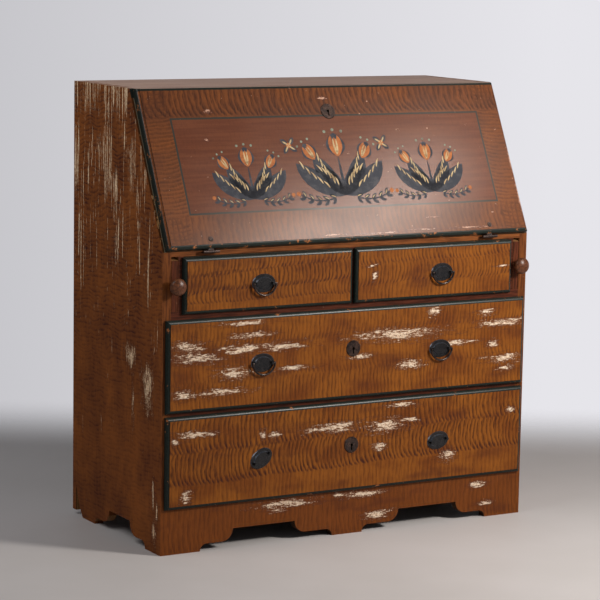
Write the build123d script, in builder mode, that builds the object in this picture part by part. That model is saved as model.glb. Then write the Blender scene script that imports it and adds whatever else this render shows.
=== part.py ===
"""Slant-front secretary desk: painted case, fall lid on two lopers, four lipped drawers.

Millimetres. X runs left to right, Y from front to back, Z up from the floor.
The box of the whole desk is centred on X and Y. Depths in the code (v) are taken
from the front edge of the case; heights along the lid (s) from the foot of the slope
and offsets off the slope (b) outward.
"""
import math
import os

from build123d import *

os.makedirs("parts", exist_ok=True)

# Case
WIDTH = 1020.0
DEPTH = 488.0
HEIGHT = 1084.0
SIDE_T = 22.0
TOP_T = 22.0
BACK_T = 20.0
APRON_T = 22.0
HOUSING = 6.0
HOUSING_STOP = 12.0
TAIL_COUNT = 5
TAIL_FLARE = 5.0
TAIL_START = 26.0
TAIL_GAP = 20.0
PLANK_COUNT = 5
PLANK_GAP = 0.8
BACK_FOOT = 12.0
CUT = 1.0

# Slope and lid
SLOPE_FOOT_Z = 717.0
SLOPE_TOP_V = 181.0
LID_T = 20.0
LID_GAP = 0.3
LID_INSET = 7.0
LID_FOOT_S = 0.3
LID_MOULD = 8.0
MOULD_STEP = 1.5
MOULD_OVERRUN = 30.0

# Fixed boards, from the floor up
BOTTOM_TOP_Z = 116.0
BOARD_T = 20.0
LOWER_RAIL_Z = 323.0
RAIL_T = 22.0
SHELF_Z = 551.0
SHELF_T = 26.0
RAIL_DEPTH = 60.0
RUNNER_W = 34.0
CHEEK_T = 14.0
DIVIDER_T = 18.0
GLUE_BLOCK = 42.0
GLUE_BLOCK_LIFT = 3.0

# Bracket cut-outs of the foot
FOOT_W = 105.0
CENTRE_TOE_X = 42.5
COVE_R = 17.5
OVOLO_R = 29.5
OUTER_STEP = 41.0
CENTRE_STEP = 58.0
SIDE_FRONT_TOE = 80.0
SIDE_REAR_FOOT = 110.0
SIDE_FRONT_STEP = 33.0
SIDE_REAR_STEP = 30.0
SIDE_OVOLO_R = 33.0
HEEL_DEPTH = 38.0
HEEL_RISE = 75.0
HEEL_SAG_V = 20.0
HEEL_SAG_Z = 31.0

# Lopers and their knobs
LOPER_SLOT = 19.0
LOPER_FIT = 0.5
LOPER_SIDE_GAP = 1.5
LOPER_REAR_GAP = 28.0
LOPER_NOSE_DROP = 8.5
LOPER_NOSE_LEN = 30.0
KNOB_OFFSET = 2.5
KNOB_DROP = 3.0
KNOB_R = 20.4
KNOB_RIM_R = 9.0
KNOB_DOME_R = 30.0
KNOB_STEM_R = 3.5
KNOB_SEAT = 22.0
KNOB_REACH = 36.0
KNOB_COLLAR_R = 7.0
KNOB_COLLAR_T = 3.0
KNOB_WAIST_TURN = 130.0

# Drawers
LIP_PROUD = 13.0
LIP_GAP = 0.4
LIP_MOULD = 8.5
FRONT_IN = 9.0
FIT_SIDE = 1.5
FIT_TOP = 1.5
RUN_GAP = 0.3
BOX_SIDE_T = 12.0
BOX_BOTTOM_T = 8.0
BOX_DROP = 8.0
BOX_REAR_GAP = 22.0
LAP_LEFT = 1.5
LAP_FLARE = 3.0
LAP_SHARE = 0.22
GLUE_LINE = 0.1
LIP_LAP = 7.0
SMALL_TOP_REVEAL = 2.45
SMALL_LIP_LAP = 5.0
SMALL_LIP_GAP = 3.0
WIDE_LIP_LAP = 14.0

# Pulls, escutcheons and locks
PULL_FROM_SIDE = 260.0
SMALL_PULL_DROP = 2.75
UPPER_PULL_DROP = 4.0
LOWER_PULL_DROP = 6.5
LOWER_LEFT_TILT = 32.0
LOWER_RIGHT_TILT = 10.0
PLATE_RX = 31.5
PLATE_RZ = 22.5
PLATE_T = 2.2
PLATE_BEVEL = 1.4
BOSS_RX = 23.0
BOSS_RZ = 15.5
BOSS_T = 2.4
BOSS_BEVEL = 2.2
POST_X = 22.5
POST_R = 3.6
PULL_STAND = 8.0
BAIL_RX = 29.6
BAIL_RZ = 28.0
BAIL_SIDE_R = 24.0
BAIL_R = 2.6
PIN_R = 2.0
PIN_FIT = 0.06
ESC_R = 20.0
ESC_T = 2.0
KEY_R = 3.6
KEY_SLOT_W = 3.4
KEY_DROP = 13.0
UPPER_KEY_RISE = 13.0
LOWER_KEY_RISE = 4.5
LID_KEY_DROP = 67.0
LOCK_W = 76.0
LOCK_T = 14.0
LOCK_BELOW_KEY = 28.0
LOCK_ABOVE_KEY = 50.0
LOCK_TOP_GAP = 6.0
BOLT_W = 18.0
BOLT_T = 6.0
BOLT_FIT = 0.3
BOLT_EASE = 1.0
BOLT_ABOVE_KEY = 8.0
BOLT_PROUD = 2.0
LID_BOLT_PROUD = 0.5
POCKET_SPARE = 3.0
BOLT_THROW = 14.0

# Hinges
HINGE_FROM_SIDE = 120.0
HINGE_V = -12.0
BARREL_R = 4.0
BARREL_LEN = 42.0
KNUCKLE_GAP = 0.3
LEAF_T = 2.5
LEAF_LEN = 44.0
RAIL_LEAF_IN = 30.0
RIVET_S = 21.0
RIVET_R = 2.5
RIVET_HEAD_R = 6.5
RIVET_HEAD_T = 1.8

# Writing-room fittings
GALLERY_DEPTH = 238.0
GALLERY_T = 12.0
GALLERY_SHELF_Z = 800.0
GALLERY_SHELF_T = 10.0
DRAWER_BAY_X = 160.0
PIGEON_PITCH = 162.5
WING_HOLLOW = 44.0
WING_HOLLOW_RISE = 96.0
WING_HORN = 12.0
INNER_WALL = 7.0
INNER_FIT = 1.0
INNER_FRONT_T = 12.0
INNER_SET_BACK = 4.0
INNER_REAR_GAP = 20.0
INNER_DROP = 6.0
INNER_KNOB_R = 7.0
INNER_KNOB_OUT = 11.0
INNER_STEM_R = 3.5
INNER_STEM = 8.0

FRONT_Y = -(DEPTH - KNOB_REACH) / 2
HALF_W = WIDTH / 2
INNER_X = HALF_W - SIDE_T
BACK_V = DEPTH - BACK_T
TOP_Z = HEIGHT - TOP_T
SLOPE = math.atan2(HEIGHT - SLOPE_FOOT_Z, SLOPE_TOP_V)
UP_V = math.cos(SLOPE)
UP_Z = math.sin(SLOPE)
HINGE_B = LID_GAP + LID_T / 2
HINGE_S = (HINGE_V + HINGE_B * UP_Z) / UP_V
HINGE_Z = SLOPE_FOOT_Z + HINGE_S * UP_Z + HINGE_B * UP_V
LID_HALF = HALF_W - LID_INSET
FLOOR_TOP_Z = HINGE_Z + LID_T / 2
FLOOR_Z = HINGE_Z - LID_T / 2
CHEEK_X = INNER_X - LOPER_SLOT
SMALL_OUT_X = CHEEK_X - CHEEK_T
SMALL_IN_X = DIVIDER_T / 2
FACE_V = -LIP_PROUD
PULL_V = FACE_V - PULL_STAND
LID_TOP_Z = HEIGHT - LID_GAP
LID_OUT_B = LID_GAP + LID_T
LID_END_S = (LID_TOP_Z - SLOPE_FOOT_Z - LID_GAP * UP_V) / UP_Z
LID_FACE_END_S = (LID_TOP_Z - SLOPE_FOOT_Z - LID_OUT_B * UP_V) / UP_Z
LID_KEY_S = LID_FACE_END_S - LID_KEY_DROP
LOWER_RAIL_TOP_Z = LOWER_RAIL_Z + RAIL_T
SHELF_TOP_Z = SHELF_Z + SHELF_T
FOOT_TOE_X = HALF_W - FOOT_W
SIDE_REAR_TOE = BACK_V - SIDE_REAR_FOOT
SIDE_HEEL = BACK_V - HEEL_DEPTH
LOPER_LEN = BACK_V - LOPER_REAR_GAP
KNOB_X = (CHEEK_X + INNER_X) / 2 + KNOB_OFFSET
KNOB_Z = (SHELF_TOP_Z + FLOOR_Z) / 2 - KNOB_DROP
BOX_REAR_V = BACK_V - BOX_REAR_GAP
SMALL_LIP_Z = SHELF_TOP_Z - LIP_LAP
SMALL_LIP_TOP_Z = FLOOR_Z - SMALL_TOP_REVEAL
SMALL_LIP_X = SMALL_OUT_X + SMALL_LIP_LAP
SMALL_PULL_Z = (SMALL_LIP_Z + SMALL_LIP_TOP_Z) / 2 - SMALL_PULL_DROP
WIDE_LIP_X = INNER_X + WIDE_LIP_LAP
PULL_X = HALF_W - PULL_FROM_SIDE
HINGE_X = HALF_W - HINGE_FROM_SIDE
GALLERY_V = BACK_V - GALLERY_DEPTH


def side_plane(x):
    return Plane(origin=(x, FRONT_Y, 0), x_dir=(0, 1, 0), z_dir=(1, 0, 0))


def front_plane(v):
    return Plane(origin=(0, FRONT_Y + v, 0), x_dir=(1, 0, 0), z_dir=(0, -1, 0))


def slope_point(s, b):
    return (s * UP_V - b * UP_Z, SLOPE_FOOT_Z + s * UP_Z + b * UP_V)


def slope_plane(b):
    v, z = slope_point(0, b)
    return Plane(origin=(0, FRONT_Y + v, z), x_dir=(1, 0, 0), z_dir=(0, -UP_Z, UP_V))


def prism(plane, points, depth, mode=Mode.ADD):
    with BuildSketch(plane) as outline:
        with BuildLine():
            Polyline(*points, close=True)
        make_face()
    extrude(outline.sketch, amount=depth, mode=mode)


def board(x0, x1, v0, v1, z0, z1, mode=Mode.ADD):
    prism(side_plane(x0), [(v0, z0), (v1, z0), (v1, z1), (v0, z1)], x1 - x0, mode)


def slope_block(x0, x1, s0, s1, b0, b1, mode=Mode.ADD):
    points = [slope_point(s0, b0), slope_point(s1, b0), slope_point(s1, b1), slope_point(s0, b1)]
    prism(side_plane(x0), points, x1 - x0, mode)


def disc(plane, x, y, radius, depth, mode=Mode.ADD):
    with BuildSketch(plane) as round_face:
        with Locations((x, y)):
            Circle(radius)
    extrude(round_face.sketch, amount=depth, mode=mode)


def keyhole(plane, y, depth):
    disc(plane, 0, y, KEY_R, depth, Mode.SUBTRACT)
    slot = KEY_SLOT_W / 2
    prism(plane, [(-slot, y), (slot, y), (slot, y - KEY_DROP), (-slot, y - KEY_DROP)], depth, Mode.SUBTRACT)


def ovolo_waste(plane, size, length):
    """Cut the stepped quarter-round of a moulded edge: local x runs in from the edge, y down off the face."""
    turn = size * (1 - math.sqrt(0.5))
    with BuildSketch(plane) as waste:
        with BuildLine():
            low = MOULD_STEP + size
            Polyline((size, MOULD_STEP), (size, -CUT), (-CUT, -CUT), (-CUT, low), (0, low))
            ThreePointArc((0, low), (turn, MOULD_STEP + turn), (size, MOULD_STEP))
        make_face()
    extrude(waste.sketch, amount=length, mode=Mode.SUBTRACT)


def bracket(toe, way, step, ovolo):
    """Points of the cove, step and ovolo that lead from a toe on the floor up to the arch."""
    bend = math.sqrt(0.5)
    cove_end = (toe + way * COVE_R, COVE_R)
    step_end = (cove_end[0] + way * step, COVE_R)
    arch = (step_end[0] + way * ovolo, COVE_R + ovolo)
    cove_mid = (cove_end[0] - way * COVE_R * bend, COVE_R * bend)
    ovolo_mid = (step_end[0] + way * ovolo * bend, arch[1] - ovolo * bend)
    return [(toe, 0), cove_mid, cove_end, step_end, ovolo_mid, arch]


def tails():
    """Outlines of the carcase tails in the side's own plane, wider at the top."""
    first = SLOPE_TOP_V + TAIL_START
    pitch = (BACK_V - first) / TAIL_COUNT
    shapes = []
    for i in range(TAIL_COUNT):
        v0 = first + i * pitch + TAIL_FLARE
        v1 = first + (i + 1) * pitch - TAIL_GAP
        shapes.append([(v0, TOP_Z), (v1, TOP_Z), (v1 + TAIL_FLARE, HEIGHT), (v0 - TAIL_FLARE, HEIGHT)])
    return shapes


def save(piece, label):
    piece.part.label = label
    export_step(piece.part, f"parts/{label}.step")


# Sides: slanted front, bracket feet, hollowed heel, housings for the three long boards
SLOPE_AT_TOP_BOARD = SLOPE_TOP_V - TOP_T * UP_V / UP_Z
for name, x0, inner in (("side_left", -HALF_W, -INNER_X), ("side_right", INNER_X, INNER_X)):
    fore = bracket(SIDE_FRONT_TOE, 1, SIDE_FRONT_STEP, SIDE_OVOLO_R)
    rear = bracket(SIDE_REAR_TOE, -1, SIDE_REAR_STEP, SIDE_OVOLO_R)
    with BuildPart() as side:
        with BuildSketch(side_plane(x0)) as profile:
            with BuildLine():
                Polyline((APRON_T, 0), fore[0])
                ThreePointArc(fore[0], fore[1], fore[2])
                Polyline(fore[2], fore[3])
                ThreePointArc(fore[3], fore[4], fore[5])
                Polyline(fore[5], rear[5])
                ThreePointArc(rear[5], rear[4], rear[3])
                Polyline(rear[3], rear[2])
                ThreePointArc(rear[2], rear[1], rear[0])
                Polyline(rear[0], (SIDE_HEEL, 0))
                ThreePointArc((SIDE_HEEL, 0), (SIDE_HEEL + HEEL_SAG_V, HEEL_SAG_Z), (BACK_V, HEEL_RISE))
                Polyline((BACK_V, HEEL_RISE), (BACK_V, TOP_Z), (SLOPE_AT_TOP_BOARD, TOP_Z))
                Polyline((SLOPE_AT_TOP_BOARD, TOP_Z), (0, SLOPE_FOOT_Z), (0, BOTTOM_TOP_Z))
                Polyline((0, BOTTOM_TOP_Z), (APRON_T, BOTTOM_TOP_Z), (APRON_T, 0))
            make_face()
        extrude(profile.sketch, amount=SIDE_T)
        for shape in tails():
            prism(side_plane(x0), shape, SIDE_T)
        groove = inner if inner > 0 else inner - HOUSING
        board(groove, groove + HOUSING, APRON_T, BACK_V, BOTTOM_TOP_Z - BOARD_T, BOTTOM_TOP_Z, Mode.SUBTRACT)
        board(groove, groove + HOUSING, HOUSING_STOP, BACK_V, SHELF_Z, SHELF_TOP_Z, Mode.SUBTRACT)
        board(groove, groove + HOUSING, HOUSING_STOP, BACK_V, FLOOR_Z, FLOOR_TOP_Z, Mode.SUBTRACT)
    save(side, name)

# Top board: front edge on the slope, sockets for the tails, pocket for the lid bolt
LID_LOCK_TOP_S = LID_KEY_S + LOCK_ABOVE_KEY
LID_BOLT_TOP_S = LID_LOCK_TOP_S + LID_BOLT_PROUD
BOLT_B = -(LOCK_T - BOLT_T) / 2 - BOLT_T + LID_GAP
with BuildPart() as top_board:
    prism(
        side_plane(-HALF_W),
        [(SLOPE_AT_TOP_BOARD, TOP_Z), (DEPTH, TOP_Z), (DEPTH, HEIGHT), (SLOPE_TOP_V, HEIGHT)],
        WIDTH,
    )
    for x0 in (-HALF_W, INNER_X):
        for shape in tails():
            prism(side_plane(x0), shape, SIDE_T, Mode.SUBTRACT)
    slope_block(
        -BOLT_W / 2 - BOLT_EASE, BOLT_W / 2 + BOLT_EASE,
        LID_BOLT_TOP_S, LID_BOLT_TOP_S + BOLT_THROW + POCKET_SPARE,
        BOLT_B - BOLT_EASE, BOLT_B + BOLT_T + BOLT_EASE,
        Mode.SUBTRACT,
    )
save(top_board, "top_board")

# Back: upright planks nailed to the rear edges
PLANK_W = WIDTH / PLANK_COUNT
with BuildPart() as back_boards:
    for i in range(PLANK_COUNT):
        left = -HALF_W + i * PLANK_W + (PLANK_GAP / 2 if i else 0)
        right = -HALF_W + (i + 1) * PLANK_W - (PLANK_GAP / 2 if i < PLANK_COUNT - 1 else 0)
        board(left, right, BACK_V, DEPTH, BACK_FOOT, TOP_Z)
save(back_boards, "back_boards")

# Apron: one board across the front with two shaped arches and a centre foot
with BuildPart() as apron:
    with BuildSketch(front_plane(APRON_T)) as outline:
        with BuildLine():
            for way in (-1, 1):
                outer = bracket(way * FOOT_TOE_X, -way, OUTER_STEP, OVOLO_R)
                middle = bracket(way * CENTRE_TOE_X, way, CENTRE_STEP, OVOLO_R)
                for curve in (outer, middle):
                    ThreePointArc(curve[0], curve[1], curve[2])
                    Line(curve[2], curve[3])
                    ThreePointArc(curve[3], curve[4], curve[5])
                Line(outer[5], middle[5])
                Polyline((way * FOOT_TOE_X, 0), (way * HALF_W, 0), (way * HALF_W, BOTTOM_TOP_Z))
            Line((-CENTRE_TOE_X, 0), (CENTRE_TOE_X, 0))
            Line((-HALF_W, BOTTOM_TOP_Z), (HALF_W, BOTTOM_TOP_Z))
        make_face()
    extrude(outline.sketch, amount=APRON_T)
save(apron, "apron")

# Fixed boards
with BuildPart() as bottom_board:
    board(-INNER_X - HOUSING, INNER_X + HOUSING, APRON_T, BACK_V, BOTTOM_TOP_Z - BOARD_T, BOTTOM_TOP_Z)
save(bottom_board, "bottom_board")

BOLT_V0 = FRONT_IN + (LOCK_T - BOLT_T) / 2
with BuildPart() as lower_rail:
    board(-INNER_X, INNER_X, 0, RAIL_DEPTH, LOWER_RAIL_Z, LOWER_RAIL_TOP_Z)
    board(
        -BOLT_W / 2 - BOLT_EASE, BOLT_W / 2 + BOLT_EASE,
        BOLT_V0 - BOLT_EASE, BOLT_V0 + BOLT_T + BOLT_EASE,
        LOWER_RAIL_Z, LOWER_RAIL_Z + BOLT_THROW, Mode.SUBTRACT,
    )
save(lower_rail, "lower_rail")

with BuildPart() as lower_runners:
    for x0 in (-INNER_X, INNER_X - RUNNER_W):
        board(x0, x0 + RUNNER_W, RAIL_DEPTH, BACK_V, LOWER_RAIL_Z, LOWER_RAIL_TOP_Z)
save(lower_runners, "lower_runners")

with BuildPart() as drawer_shelf:
    board(-INNER_X, INNER_X, 0, BACK_V, SHELF_Z, SHELF_TOP_Z)
    board(-INNER_X - HOUSING, INNER_X + HOUSING, HOUSING_STOP, BACK_V, SHELF_Z, SHELF_TOP_Z)
    board(
        -BOLT_W / 2 - BOLT_EASE, BOLT_W / 2 + BOLT_EASE,
        BOLT_V0 - BOLT_EASE, BOLT_V0 + BOLT_T + BOLT_EASE,
        SHELF_Z, SHELF_Z + BOLT_THROW, Mode.SUBTRACT,
    )
save(drawer_shelf, "drawer_shelf")

with BuildPart() as loper_cheeks:
    for x0 in (-CHEEK_X, SMALL_OUT_X):
        board(x0, x0 + CHEEK_T, 0, BACK_V, SHELF_TOP_Z, FLOOR_Z)
save(loper_cheeks, "loper_cheeks")

with BuildPart() as drawer_divider:
    board(-SMALL_IN_X, SMALL_IN_X, 0, BACK_V, SHELF_TOP_Z, FLOOR_Z)
save(drawer_divider, "drawer_divider")

# Writing floor: its front edge is the rail under the lid, slotted for the hinge leaves
RAIL_LEAF_Z = HINGE_Z - BARREL_R + 0.2
BEVEL_V = (FLOOR_TOP_Z - SLOPE_FOOT_Z) * UP_V / UP_Z
with BuildPart() as desk_floor:
    prism(
        side_plane(-INNER_X),
        [(0, FLOOR_Z), (BACK_V, FLOOR_Z), (BACK_V, FLOOR_TOP_Z), (BEVEL_V, FLOOR_TOP_Z), (0, SLOPE_FOOT_Z)],
        2 * INNER_X,
    )
    board(-INNER_X - HOUSING, INNER_X + HOUSING, HOUSING_STOP, BACK_V, FLOOR_Z, FLOOR_TOP_Z)
    for hinge_x in (-HINGE_X, HINGE_X):
        board(
            hinge_x - BARREL_LEN / 2, hinge_x + BARREL_LEN / 2, 0, RAIL_LEAF_IN,
            RAIL_LEAF_Z, RAIL_LEAF_Z + LEAF_T, Mode.SUBTRACT,
        )
save(desk_floor, "desk_floor")

# Glue blocks in the foot corners and behind the centre foot
with BuildPart() as glue_blocks:
    for x0 in (-INNER_X, INNER_X - GLUE_BLOCK, -GLUE_BLOCK / 2):
        board(
            x0, x0 + GLUE_BLOCK, APRON_T, APRON_T + GLUE_BLOCK,
            GLUE_BLOCK_LIFT, BOTTOM_TOP_Z - BOARD_T,
        )
save(glue_blocks, "glue_blocks")

# Gallery in the writing room: one shelf, uprights with hollowed front edges
with BuildPart() as gallery_shelf:
    board(-INNER_X, INNER_X, GALLERY_V, BACK_V, GALLERY_SHELF_Z, GALLERY_SHELF_Z + GALLERY_SHELF_T)
save(gallery_shelf, "gallery_shelf")

UPRIGHT_Z = GALLERY_SHELF_Z + GALLERY_SHELF_T
with BuildPart() as gallery_uprights:
    for bay_x in (-DRAWER_BAY_X, DRAWER_BAY_X):
        board(bay_x - GALLERY_T / 2, bay_x + GALLERY_T / 2, GALLERY_V, BACK_V, FLOOR_TOP_Z, GALLERY_SHELF_Z)
    for i in range(-2, 3):
        with BuildSketch(side_plane(i * PIGEON_PITCH - GALLERY_T / 2)) as wing:
            with BuildLine():
                toe = (GALLERY_V, UPRIGHT_Z)
                horn = (GALLERY_V + WING_HORN, TOP_Z)
                ThreePointArc(toe, (GALLERY_V + WING_HOLLOW, UPRIGHT_Z + WING_HOLLOW_RISE), horn)
                Polyline(horn, (BACK_V, TOP_Z), (BACK_V, UPRIGHT_Z), toe)
            make_face()
        extrude(wing.sketch, amount=GALLERY_T)
save(gallery_uprights, "gallery_uprights")

# Hinges: leaves driven into slots, three knuckles on one pin
KNUCKLE = BARREL_LEN / 3
HINGE_BORE = PIN_R + PIN_FIT
with BuildPart() as hinge_rail_leaves:
    for hinge_x in (-HINGE_X, HINGE_X):
        left = hinge_x - BARREL_LEN / 2
        for x0 in (left, left + 2 * KNUCKLE + KNUCKLE_GAP):
            disc(side_plane(x0), HINGE_V, HINGE_Z, BARREL_R, KNUCKLE - KNUCKLE_GAP)
            board(x0, x0 + KNUCKLE - KNUCKLE_GAP, HINGE_V, -CUT, RAIL_LEAF_Z, RAIL_LEAF_Z + LEAF_T)
        board(left, left + BARREL_LEN, -CUT, RAIL_LEAF_IN, RAIL_LEAF_Z, RAIL_LEAF_Z + LEAF_T)
        disc(side_plane(left), HINGE_V, HINGE_Z, HINGE_BORE, BARREL_LEN, Mode.SUBTRACT)
save(hinge_rail_leaves, "hinge_rail_leaves")

with BuildPart() as hinge_pins:
    for hinge_x in (-HINGE_X, HINGE_X):
        disc(side_plane(hinge_x - BARREL_LEN / 2), HINGE_V, HINGE_Z, PIN_R, BARREL_LEN)
save(hinge_pins, "hinge_pins")

# Lid: overlay panel, moulded on three edges, cut level with the top
LEAF_B = HINGE_B - LEAF_T / 2
with BuildPart() as lid_panel:
    prism(
        side_plane(-LID_HALF),
        [
            slope_point(LID_FOOT_S, LID_GAP), slope_point(LID_END_S, LID_GAP),
            slope_point(LID_FACE_END_S, LID_OUT_B), slope_point(LID_FOOT_S, LID_OUT_B),
        ],
        2 * LID_HALF,
    )
    foot_v, foot_z = slope_point(LID_FOOT_S, LID_OUT_B)
    foot_edge = Plane(
        origin=(-LID_HALF - CUT, FRONT_Y + foot_v, foot_z), x_dir=(0, UP_V, UP_Z), z_dir=(-1, 0, 0),
    )
    ovolo_waste(foot_edge, LID_MOULD, -2 * (LID_HALF + CUT))
    low_v, low_z = slope_point(LID_FOOT_S - MOULD_OVERRUN, LID_OUT_B)
    for way in (-1, 1):
        edge = Plane(
            origin=(way * LID_HALF, FRONT_Y + low_v, low_z),
            x_dir=(-way, 0, 0), z_dir=(0, -way * UP_V, -way * UP_Z),
        )
        ovolo_waste(edge, LID_MOULD, -way * (LID_END_S + 2 * MOULD_OVERRUN))
    for hinge_x in (-HINGE_X, HINGE_X):
        slope_block(
            hinge_x - BARREL_LEN / 2, hinge_x + BARREL_LEN / 2,
            LID_FOOT_S - CUT, HINGE_S + LEAF_LEN, LEAF_B, LEAF_B + LEAF_T, Mode.SUBTRACT,
        )
        disc(slope_plane(-CUT), hinge_x, RIVET_S, RIVET_R + PIN_FIT, LID_OUT_B + 2 * CUT, Mode.SUBTRACT)
    keyhole(slope_plane(-CUT), LID_KEY_S, LID_OUT_B + 2 * CUT)
save(lid_panel, "lid_panel")

with BuildPart() as lid_hinge_leaves:
    for hinge_x in (-HINGE_X, HINGE_X):
        left = hinge_x - (KNUCKLE - KNUCKLE_GAP) / 2
        disc(side_plane(left), HINGE_V, HINGE_Z, BARREL_R, KNUCKLE - KNUCKLE_GAP)
        slope_block(
            left, left + KNUCKLE - KNUCKLE_GAP,
            HINGE_S, LID_FOOT_S + CUT, LEAF_B, LEAF_B + LEAF_T,
        )
        slope_block(
            hinge_x - BARREL_LEN / 2, hinge_x + BARREL_LEN / 2,
            LID_FOOT_S, HINGE_S + LEAF_LEN, LEAF_B, LEAF_B + LEAF_T,
        )
        disc(side_plane(left), HINGE_V, HINGE_Z, HINGE_BORE, KNUCKLE, Mode.SUBTRACT)
        disc(slope_plane(-CUT), hinge_x, RIVET_S, RIVET_R + PIN_FIT, LID_OUT_B + 2 * CUT, Mode.SUBTRACT)
save(lid_hinge_leaves, "lid_hinge_leaves")

with BuildPart() as lid_hinge_rivets:
    for hinge_x in (-HINGE_X, HINGE_X):
        disc(slope_plane(LID_GAP), hinge_x, RIVET_S, RIVET_R, LID_T)
        with BuildSketch(slope_plane(LID_OUT_B)) as head:
            with Locations((hinge_x, RIVET_S)):
                Circle(RIVET_HEAD_R)
        extrude(head.sketch, amount=RIVET_HEAD_T, taper=36)
save(lid_hinge_rivets, "lid_hinge_rivets")

with BuildPart() as lid_escutcheon:
    with BuildSketch(slope_plane(LID_OUT_B)) as plate:
        with Locations((0, LID_KEY_S)):
            Circle(ESC_R)
    extrude(plate.sketch, amount=ESC_T, taper=30)
    keyhole(slope_plane(LID_OUT_B - CUT), LID_KEY_S, ESC_T + 2 * CUT)
save(lid_escutcheon, "lid_escutcheon")

LID_LOCK_S = LID_KEY_S - LOCK_BELOW_KEY
with BuildPart() as lid_lock:
    slope_block(-LOCK_W / 2, LOCK_W / 2, LID_LOCK_S, LID_LOCK_TOP_S, LID_GAP - LOCK_T, LID_GAP)
    slope_block(
        -BOLT_W / 2 - BOLT_FIT, BOLT_W / 2 + BOLT_FIT,
        LID_KEY_S + BOLT_ABOVE_KEY, LID_LOCK_TOP_S + CUT,
        BOLT_B - BOLT_FIT, BOLT_B + BOLT_T + BOLT_FIT, Mode.SUBTRACT,
    )
    keyhole(slope_plane(LID_GAP - LOCK_T - CUT), LID_KEY_S, LOCK_T + 2 * CUT)
save(lid_lock, "lid_lock")

with BuildPart() as lid_lock_bolt:
    bolt_foot = LID_KEY_S + BOLT_ABOVE_KEY + BOLT_FIT
    slope_block(-BOLT_W / 2, BOLT_W / 2, bolt_foot, LID_BOLT_TOP_S, BOLT_B, BOLT_B + BOLT_T)
save(lid_lock_bolt, "lid_lock_bolt")

# Lopers with turned knobs: a shallow dome runs into a rounded rim and a hollow neck
rim_out = KNOB_R - KNOB_RIM_R
dome_u = KNOB_REACH - KNOB_DOME_R
rim_u = dome_u + math.sqrt((KNOB_DOME_R - KNOB_RIM_R) ** 2 - rim_out ** 2)
dome_turn = math.degrees(math.atan2(rim_out, rim_u - dome_u))
for name, way in (("left", -1), ("right", 1)):
    near = CHEEK_X + LOPER_SIDE_GAP
    far = INNER_X - LOPER_SIDE_GAP
    x0 = near if way > 0 else -far
    with BuildPart() as loper:
        low = SHELF_TOP_Z + RUN_GAP
        high = FLOOR_Z - LOPER_FIT
        nose = [(LOPER_NOSE_LEN, high), (0, high - LOPER_NOSE_DROP)]
        prism(side_plane(x0), [(0, low), (LOPER_LEN, low), (LOPER_LEN, high), *nose], far - near)
        stem_bore = KNOB_STEM_R + PIN_FIT
        disc(front_plane(KNOB_SEAT), way * KNOB_X, KNOB_Z, stem_bore, KNOB_SEAT + CUT, Mode.SUBTRACT)
    save(loper, f"loper_{name}")
    with BuildPart() as knob:
        axis_plane = Plane(
            origin=(way * KNOB_X, FRONT_Y, KNOB_Z), x_dir=(0, -1, 0), z_dir=(0, 0, 1),
        )
        with BuildSketch(axis_plane) as turned:
            with BuildLine():
                stem_end = CUT - KNOB_SEAT
                collar = (KNOB_COLLAR_T, KNOB_COLLAR_R)
                Polyline((stem_end, 0), (stem_end, KNOB_STEM_R), (0, KNOB_STEM_R), (0, KNOB_COLLAR_R), collar)
                CenterArc((dome_u, 0), KNOB_DOME_R, 0, dome_turn)
                rim = CenterArc((rim_u, rim_out), KNOB_RIM_R, dome_turn, KNOB_WAIST_TURN - dome_turn)
                TangentArc(collar, rim @ 1, tangent=(1, -0.2))
                Line((KNOB_REACH, 0), (stem_end, 0))
            make_face()
        revolve(turned.sketch, axis=Axis((way * KNOB_X, FRONT_Y, KNOB_Z), (0, -1, 0)))
    save(knob, f"loper_knob_{name}")


def front_tails(z0, z1, count):
    """Lapped dovetails that hold a box side in the back of its front."""
    pitch = (z1 - z0) / count
    shapes = []
    for i in range(count):
        low = z0 + (i + LAP_SHARE) * pitch
        high = z0 + (i + 1 - LAP_SHARE) * pitch
        flare = [(LAP_LEFT, high + LAP_FLARE), (LAP_LEFT, low - LAP_FLARE)]
        shapes.append([(FRONT_IN, low), (FRONT_IN, high), *flare])
    return shapes


def make_front(name, lip, opening, tail_count, key_z):
    lip_x0, lip_x1, lip_z0, lip_z1 = lip
    x0, x1, z0, z1 = opening
    with BuildPart() as front:
        board(lip_x0, lip_x1, FACE_V, -LIP_GAP, lip_z0, lip_z1)
        board(x0 + FIT_SIDE, x1 - FIT_SIDE, -LIP_GAP, FRONT_IN, z0 + RUN_GAP, z1 - FIT_TOP)
        for x_edge, way in ((lip_x0, 1), (lip_x1, -1)):
            corner = (x_edge, FRONT_Y + FACE_V, lip_z0 - CUT)
            upright = Plane(origin=corner, x_dir=(way, 0, 0), z_dir=(0, 0, way))
            ovolo_waste(upright, LIP_MOULD, way * (lip_z1 - lip_z0 + 2 * CUT))
        for z_edge, way in ((lip_z0, 1), (lip_z1, -1)):
            corner = (lip_x0 - CUT, FRONT_Y + FACE_V, z_edge)
            level = Plane(origin=corner, x_dir=(0, 0, way), z_dir=(-way, 0, 0))
            ovolo_waste(level, LIP_MOULD, -way * (lip_x1 - lip_x0 + 2 * CUT))
        for wall_x in (x0 + FIT_SIDE, x1 - FIT_SIDE - BOX_SIDE_T):
            for shape in front_tails(z0 + RUN_GAP + BOX_BOTTOM_T, z1 - BOX_DROP, tail_count):
                prism(side_plane(wall_x), shape, BOX_SIDE_T, Mode.SUBTRACT)
        if key_z:
            keyhole(front_plane(FRONT_IN + CUT), key_z, FRONT_IN + LIP_PROUD + 2 * CUT)
    save(front, f"{name}_front")


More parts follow.
